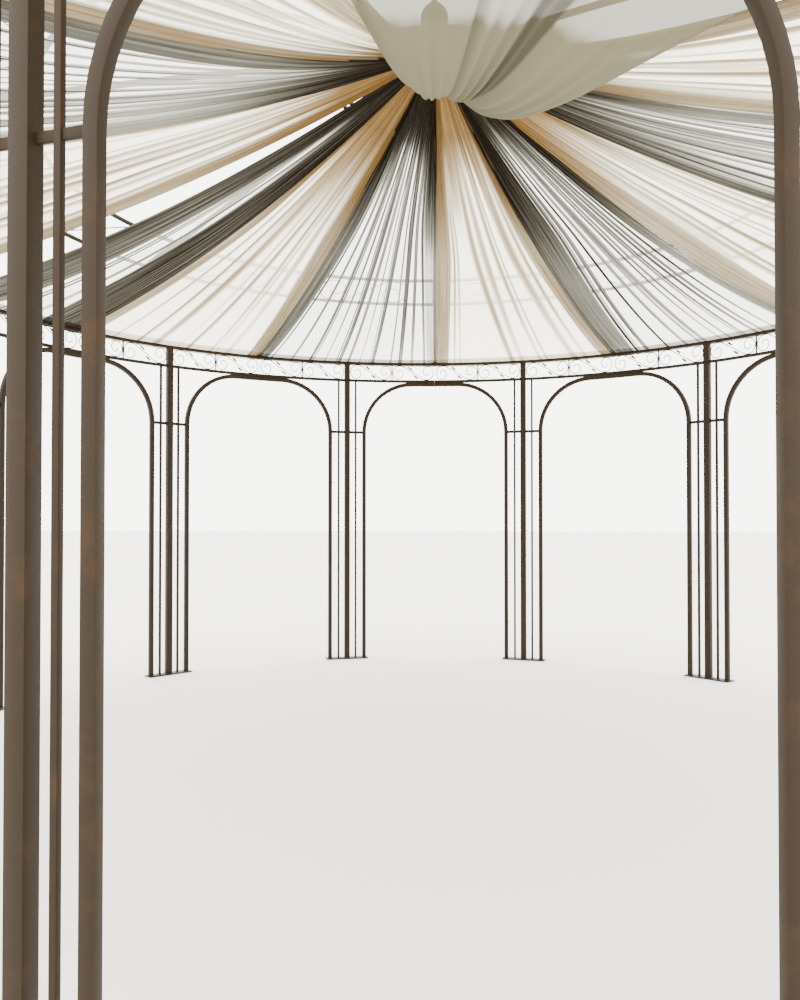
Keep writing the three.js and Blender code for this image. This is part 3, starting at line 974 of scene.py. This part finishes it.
class CANOPY_OT_roof_ribs(bpy.types.Operator):
    """Add the twelve curved ribs, each on its foot over the middle of a bay."""

    bl_idname = "canopy.roof_ribs"
    bl_label = "Roof Ribs"

    def execute(self, context):
        iron, roof = context.scene.canopy_iron, context.scene.canopy_roof
        foot_half, foot_height, bite = 0.014, 0.012, 0.004
        foot_low = FRIEZE_TOP + SEAT_GAP
        eave = Vector((iron.ring_radius, 0, foot_low + foot_height))
        end_tilt = roof.rib_side / 2 * math.sin(roof.crown_slope)
        crown = Vector((
            roof.crown_radius + CROWN_TIE_SIDE / 2 + SEAT_GAP + end_tilt, 0,
            sum(crown_ring_heights(roof)) / 2,
        ))
        foot_high = (eave.x + foot_half, foot_half, eave.z + bite)
        foot = block((eave.x - foot_half, -foot_half, foot_low), foot_high, PLATE_SOFTNESS)
        eave_way = Vector((-math.cos(roof.eave_slope), 0, math.sin(roof.eave_slope)))
        crown_way = Vector((-math.cos(roof.crown_slope), 0, math.sin(roof.crown_slope)))
        meeting = two_arc_meeting(eave, eave_way, crown, crown_way)
        start_bar(roof.rib_side, eave, eave_way, iron.edge_softness)
        way = eave_way
        start = eave
        for end in (meeting, crown):
            centre, turn = arc_to(start, way, end)
            swing(centre, (0, -1, 0), turn, RIB_STEPS)
            way = turned_way(way, turn)
            start = end
        rib = joined([end_bar(), foot], "rib")
        set_in_ring(rib, "rib_bar", RIB_NAMES, math.pi / 2, PITCH, iron_finish(context))
        return {"FINISHED"}


def turned_way(way, turn):
    """A heading in the XZ plane, turned as the rib bends over towards the crown."""
    return Vector((
        way.x * math.cos(turn) - way.z * math.sin(turn), 0,
        way.z * math.cos(turn) + way.x * math.sin(turn),
    ))


def arc_to(start, way, end):
    """Centre and turn of the arc that leaves start along way and ends at end."""
    chord = end - start
    turn = 2 * way.angle(chord)
    radius = chord.length / (2 * math.sin(turn / 2))
    inward = turned_way(way, math.pi / 2)
    return start + inward * radius, turn


def two_arc_meeting(start, start_way, end, end_way):
    """Where two arcs meet that leave start and reach end along the given headings."""
    chord = end - start
    both = start_way + end_way
    spread = 1 - start_way.dot(end_way)
    forward = chord.dot(both)
    reach = (math.sqrt(forward**2 + 2 * spread * chord.length_squared) - forward) / (2 * spread)
    return (start + end + reach * (start_way - end_way)) / 2


class CANOPY_OT_roof_bands(bpy.types.Operator):
    """Add the four quarters of the roof band: two rings, with ties and S-scrolls between them."""

    bl_idname = "canopy.roof_bands"
    bl_label = "Roof Band"

    def execute(self, context):
        iron, roof = context.scene.canopy_iron, context.scene.canopy_roof
        half = roof.band_side / 2
        outer = (roof.outer_band_radius, BAND_LOW + half)
        inner = (roof.inner_band_radius, BAND_TOP - half)
        pieces = [self.quarter_ring(radius, height, roof, iron) for radius, height in (outer, inner)]
        slant = math.hypot(outer[0] - inner[0], inner[1] - outer[1])
        slope = math.atan2(inner[1] - outer[1], outer[0] - inner[0])
        middle = ((outer[0] + inner[0]) / 2, (outer[1] + inner[1]) / 2)
        tie = self.leaned(self.tie(slant), slope, middle)
        bite = 0.001
        spiral = slant / 2 - half - iron.wire_radius + bite
        scroll = self.leaned(s_scroll(spiral, spiral * 1.5, iron.wire_radius), slope, middle)
        bays = range(BAYS_IN_QUARTER)
        pieces += turned_copies(scroll, [((BAYS_IN_QUARTER - 1) / 2 - i) * PITCH for i in bays])
        end_gap = 0.001
        last_tie = QUARTER / 2 - (BAND_TIE_SIDE / 2 + end_gap) / inner[0]
        rib_turns = [(BAYS_IN_QUARTER / 2 - i) * PITCH for i in bays[1:]]
        pieces += turned_copies(tie, (last_tie, *rib_turns, -last_tie))
        band = joined(pieces, "band")
        set_in_ring(band, "band_rings", BAND_NAMES, -QUARTER / 2, QUARTER, iron_finish(context))
        return {"FINISHED"}

    def quarter_ring(self, radius, height, roof, iron):
        """A quarter of a ring, with its middle over +Y."""
        start_bar(roof.band_side, (0, radius, height), (1, 0, 0), iron.edge_softness)
        swing((0, 0, 0), (0, 0, 1), -(QUARTER - SEAT_GAP / radius), QUARTER_STEPS)
        ring = end_bar()
        ring.rotation_euler.z = QUARTER / 2
        leave_only(ring)
        place_in_mesh()
        return ring

    def tie(self, slant):
        half = BAND_TIE_SIDE / 2
        return block((-half, -half, -slant / 2), (half, half, slant / 2), TIE_SOFTNESS)

    def leaned(self, obj, slope, middle):
        """Lean an upright flat piece back on to the roof and put it over +Y."""
        leave_only(obj)
        obj.rotation_euler.x = math.pi / 2 - slope
        obj.location = (0, middle[0], middle[1])
        place_in_mesh()
        return obj


class CANOPY_OT_crown_ring(bpy.types.Operator):
    """Add the two crown rings with their ties, spokes and hub."""

    bl_idname = "canopy.crown_ring"
    bl_label = "Crown Ring"

    def execute(self, context):
        iron, roof = context.scene.canopy_iron, context.scene.canopy_roof
        low, high = crown_ring_heights(roof)
        radius = roof.crown_radius
        pieces = [full_ring(radius, z, roof.crown_side, iron.edge_softness) for z in (low, high)]
        half = CROWN_TIE_SIDE / 2
        tie = block((-half, radius - half, low), (half, radius + half, high), TIE_SOFTNESS)
        pieces += turned_copies(tie, [-i * PITCH for i in range(len(COLUMN_NAMES))])
        spokes, spoke_drop, spoke_softness = 4, 0.01, 0.0015
        outer_end = Vector((0, radius, high))
        run = Vector((0, 0, CROWN_TOP - spoke_drop)) - outer_end
        spoke = straight_bar(CROWN_TIE_SIDE, outer_end, run, spoke_softness)
        pieces += turned_copies(spoke, [i * 2 * math.pi / spokes for i in range(spokes)])
        edge = roof.hub_radius
        hub_low = CROWN_TOP - roof.hub_height
        pieces.append(turned_profile([
            (edge * 0.86, hub_low), (edge, hub_low + 0.005), (edge, CROWN_TOP - 0.02),
            (edge * 1.12, CROWN_TOP - 0.016), (edge * 1.12, CROWN_TOP - 0.006),
            (edge, CROWN_TOP - 0.003), (edge * 0.8, CROWN_TOP),
        ]))
        crown = joined(pieces, "crown_rings")
        finish_iron(crown, iron_finish(context), "crown_ring")
        return {"FINISHED"}


def crown_ring_heights(roof):
    """Heights of the middles of the lower and the upper crown ring."""
    low = CROWN_LOW + roof.crown_side / 2
    return low, low + roof.crown_spacing


class CANOPY_OT_finial(bpy.types.Operator):
    """Add the finial: a thin spire, a ball between two collars and a spike."""

    bl_idname = "canopy.finial"
    bl_label = "Finial"

    def execute(self, context):
        ball = context.scene.canopy_roof.ball_radius
        spire = 0.012
        spike = 0.055
        middle = FINIAL_TOP - spike - ball
        collar = 0.026
        seam = math.asin(collar / ball)
        below = middle - ball * math.cos(seam)
        above = middle + ball * math.cos(seam)
        profile = [
            (spire * 1.8, FINIAL_LOW), (spire * 1.8, FINIAL_LOW + 0.008),
            (spire, FINIAL_LOW + 0.016), (spire, below - 0.02),
            (collar * 0.8, below - 0.016), (collar, below - 0.01), (collar, below - 0.002),
        ]
        steps = 14
        for i in range(steps + 1):
            lift = seam + (math.pi - 2 * seam) * i / steps
            profile.append((ball * math.sin(lift), middle - ball * math.cos(lift)))
        profile += [
            (collar, above + 0.002), (collar, above + 0.006), (collar * 0.5, above + 0.01),
            (spire * 0.8, above + 0.016), (0.0015, FINIAL_TOP),
        ]
        finial = turned_profile(profile)
        finial.name = "finial_ball"
        finish_iron(finial, iron_finish(context), "finial")
        return {"FINISHED"}


# How the two kinds of sheer panel differ: their folds, how they crowd and fade, and how light passes
GREY_LOOK = {
    "layer": 0.012, "left_edge": (0.07, 0.10), "right_edge": (0.05, 0.08),
    "pleats": 15, "pleat_widths": (0.008, 0.013, 0.020, 0.030), "crisp": True, "least_clear": 0.22,
    "pleat_tone": 0.85, "last_tone": 0.42, "edge_fade": (0.56, 0.85), "loosens": (0.08, 0.5),
    "crowded": (0.33, 1.12), "veil": 0.48, "closing": 1.15, "thread_tone": 0.05,
    "thin_glow": (0.46, 0.458, 0.41), "deep_glow": (0.0055, 0.0033, 0.0014),
}
PEACH_LOOK = {
    "layer": -0.012, "left_edge": (0.10, 0.17), "right_edge": (0.08, 0.11),
    "pleats": 8, "pleat_widths": (0.018, 0.035, 0.06), "crisp": False, "least_clear": 0.2,
    "pleat_tone": 0.68, "last_tone": 0.4, "edge_fade": (0.58, 0.52), "loosens": (0.1, 0.5),
    "crowded": (0.28, 1.85), "veil": 0.7, "closing": 0.75, "thread_tone": 0.04,
    "thin_glow": (0.74, 0.71, 0.58), "deep_glow": (0.11, 0.066, 0.021),
}
# Panels with bundles of their own, and panels that stay crowded further out from the crown
PANEL_CHANGES = {
    2: {"left_edge": (0.145, 0.175), "edge_fade": (0.55, 0.85), "loosens": (0.15, 0.65)},
    4: {"crowded": (0.33, 2.464)},
    8: {"crowded": (0.33, 2.24)},
    10: {
        "left_edge": (0.25, 0.29), "right_edge": (0.29, 0.34), "pleats": 3,
        "edge_fade": (0.35, 0.25), "crowded": (0.33, 1.344),
    },
}
# Panels that don't fill their bay, in degrees clockwise from +Y: one ends at the swag, and a gap of
# sky lies between the other two
TRIMMED_PANELS = {7: (188.0, 210.0), 9: (240.0, 273.5), 10: (279.5, 300.0)}


class CANOPY_OT_sheer_panels(bpy.types.Operator):
    """Add the sheer panels, grey and peach in turn, gathered at the hub and hemmed at the eave."""

    bl_idname = "canopy.sheer_panels"
    bl_label = "Sheer Panels"

    def execute(self, context):
        cloth, iron = context.scene.canopy_cloth, context.scene.canopy_iron
        colours = context.scene.canopy_finish
        finishes = {
            "grey": sheer_cloth("grey_voile", colours.grey_folds, colours.grey_spread, GREY_LOOK),
            "peach": sheer_cloth("peach_voile", colours.peach_folds, colours.peach_spread, PEACH_LOOK),
        }
        for cad_name in CLOTH_NAMES:
            kind, number = cad_name.split("_")[1:]
            if kind == "muslin":
                continue
            start, end = self.angles(int(number))
            look = {"grey": GREY_LOOK, "peach": PEACH_LOOK}[kind] | PANEL_CHANGES.get(int(number), {})
            look["pleats"] = max(2, round(look["pleats"] * cloth.pleat_share))
            random = np.random.default_rng(cloth.seed + int(number))
            panel = sheer_panel(f"{kind}_panel_{number}", start, end, look, cloth, iron, random)
            cut_width = cloth.cut_width * (end - start) / PITCH
            hang_cloth(panel, cut_width, cloth, finishes[kind], cad_name)
        return {"FINISHED"}

    def angles(self, number):
        """Where a panel starts and ends, clockwise from +Y."""
        if number in TRIMMED_PANELS:
            return [math.radians(angle) for angle in TRIMMED_PANELS[number]]
        return (number - 1) * PITCH, number * PITCH


# The swag's valleys, as degrees clockwise from +Y, and the lobes between them: each lobe's extra sag,
# where it hangs lowest, its painted shade at its start and at its end, and its crease strength, which
# deepens both the creases and their painted shade
SWAG_VALLEYS = (149.6, 165.7, 175.5, 189.0)
SWAG_LOBES = (
    {"sag": 2.4, "lowest": 0.33, "start_shade": 0.0, "end_shade": 0.25, "creases": 0.06},
    {"sag": 0.4, "lowest": 0.5, "start_shade": 1.0, "end_shade": 0.85, "creases": 0.38},
    {"sag": 0.5, "lowest": 0.5, "start_shade": 0.1, "end_shade": 0.0, "creases": 0.05},
)


class CANOPY_OT_muslin_swag(bpy.types.Operator):
    """Add the muslin swag over the front bay."""

    bl_idname = "canopy.muslin_swag"
    bl_label = "Muslin Swag"

    def execute(self, context):
        cloth = context.scene.canopy_cloth
        iron = context.scene.canopy_iron
        finish = slubbed_muslin(context.scene.canopy_finish)
        random = np.random.default_rng(cloth.seed)
        cad_name = next(name for name in CLOTH_NAMES if name.startswith("cloth_muslin_"))
        swag_name = f"muslin_swag_{cad_name[-2:]}"
        swag = muslin_swag(swag_name, SWAG_VALLEYS, SWAG_LOBES, cloth, iron, random)
        eave_width = iron.ring_radius * math.radians(SWAG_VALLEYS[-1] - SWAG_VALLEYS[0])
        cut_width = eave_width * cloth.swag_fullness
        hang_cloth(swag, cut_width, cloth, finish, cad_name)
        return {"FINISHED"}


# Floor and lamps. Each lamp has its place, its share of the soft light's power and its size.
FLOOR_SIDE, FLOOR_LEVEL = 90, -0.001
LIT_PLACE = Vector((0, 0, 1.6))
LAMPS = {
    "front_light": ((-3.2, -6.5, 4.2), 1.0, 4.5),
    "side_light": ((6.0, 2.5, 5.0), 0.5, 4.0),
}


class CANOPY_OT_studio(bpy.types.Operator):
    """Add the plain floor, the even background, a large soft light and the camera."""

    bl_idname = "canopy.studio"
    bl_label = "Studio"

    def execute(self, context):
        studio = context.scene.canopy_studio
        self.floor(studio)
        self.background(context, studio)
        for name, (place, share, size) in LAMPS.items():
            self.soft_light(name, place, studio.soft_light_power * share, size)
        self.camera(context, studio)
        return {"FINISHED"}

    def floor(self, studio):
        bpy.ops.object.select_all(action="DESELECT")
        bpy.ops.mesh.primitive_plane_add(size=FLOOR_SIDE, location=(0, 0, FLOOR_LEVEL))
        floor = bpy.context.object
        floor.name = "floor"
        finish = Finish("plain_floor")
        floor.data.materials.append(finish.done(finish.surface(studio.floor_colour, 0.9, 0.1)))

    def background(self, context, studio):
        world = bpy.data.worlds.new("even_sky")
        world.use_nodes = True
        sky = world.node_tree.nodes["Background"]
        sky.inputs["Color"].default_value = (*studio.sky_colour, 1.0)
        sky.inputs["Strength"].default_value = studio.sky_strength
        context.scene.world = world

    def soft_light(self, name, place, power, size):
        light = bpy.data.lights.new(name, "AREA")
        light.energy = power
        light.size = size
        lamp = bpy.data.objects.new(name, light)
        lamp.location = place
        lamp.rotation_euler = (LIT_PLACE - lamp.location).to_track_quat("-Z", "Y").to_euler()
        bpy.context.scene.collection.objects.link(lamp)

    def camera(self, context, studio):
        lens = bpy.data.cameras.new("viewpoint")
        lens.lens = studio.focal_length
        lens.sensor_width = 36
        eye = bpy.data.objects.new("viewpoint", lens)
        eye.location = (0, -studio.eye_distance, studio.eye_height)
        look_up, look_left = math.radians(0.83), math.radians(2.4)
        eye.rotation_euler = (math.pi / 2 + look_up, 0, look_left)
        context.scene.collection.objects.link(eye)
        context.scene.camera = eye


class CANOPY_PT_panel(bpy.types.Panel):
    """Lists the steps that build the canopy."""

    bl_idname = "CANOPY_PT_panel"
    bl_label = "Round Iron Canopy"
    bl_space_type = "VIEW_3D"
    bl_region_type = "UI"
    bl_category = "Canopy"

    def draw(self, context):
        for settings in SETTINGS:
            owner = getattr(context.scene, settings)
            box = self.layout.box()
            for name in owner.bl_rna.properties.keys():
                if name not in ("rna_type", "name"):
                    box.prop(owner, name)
        for operator in OPERATORS:
            self.layout.operator(operator.bl_idname)


SETTINGS = {
    "canopy_iron": CanopyIronwork,
    "canopy_roof": CanopyRoof,
    "canopy_cloth": CanopyCloth,
    "canopy_finish": CanopyFinish,
    "canopy_studio": CanopyStudio,
}
OPERATORS = (
    CANOPY_OT_column_frames,
    CANOPY_OT_eave_friezes,
    CANOPY_OT_roof_ribs,
    CANOPY_OT_roof_bands,
    CANOPY_OT_crown_ring,
    CANOPY_OT_finial,
    CANOPY_OT_sheer_panels,
    CANOPY_OT_muslin_swag,
    CANOPY_OT_studio,
)


def register():
    for settings in SETTINGS.values():
        bpy.utils.register_class(settings)
    for name, settings in SETTINGS.items():
        setattr(bpy.types.Scene, name, PointerProperty(type=settings))
    for operator in OPERATORS:
        bpy.utils.register_class(operator)
    bpy.utils.register_class(CANOPY_PT_panel)


def unregister():
    bpy.utils.unregister_class(CANOPY_PT_panel)
    for operator in reversed(OPERATORS):
        bpy.utils.unregister_class(operator)
    for name, settings in SETTINGS.items():
        delattr(bpy.types.Scene, name)
        bpy.utils.unregister_class(settings)


def main():
    """Build the canopy piece by piece."""
    register()
    bpy.ops.canopy.column_frames()
    bpy.ops.canopy.eave_friezes()
    bpy.ops.canopy.roof_ribs()
    bpy.ops.canopy.roof_bands()
    bpy.ops.canopy.crown_ring()
    bpy.ops.canopy.finial()
    bpy.ops.canopy.sheer_panels()
    bpy.ops.canopy.muslin_swag()
    bpy.ops.canopy.studio()
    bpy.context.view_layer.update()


if __name__ == "__main__":
    main()
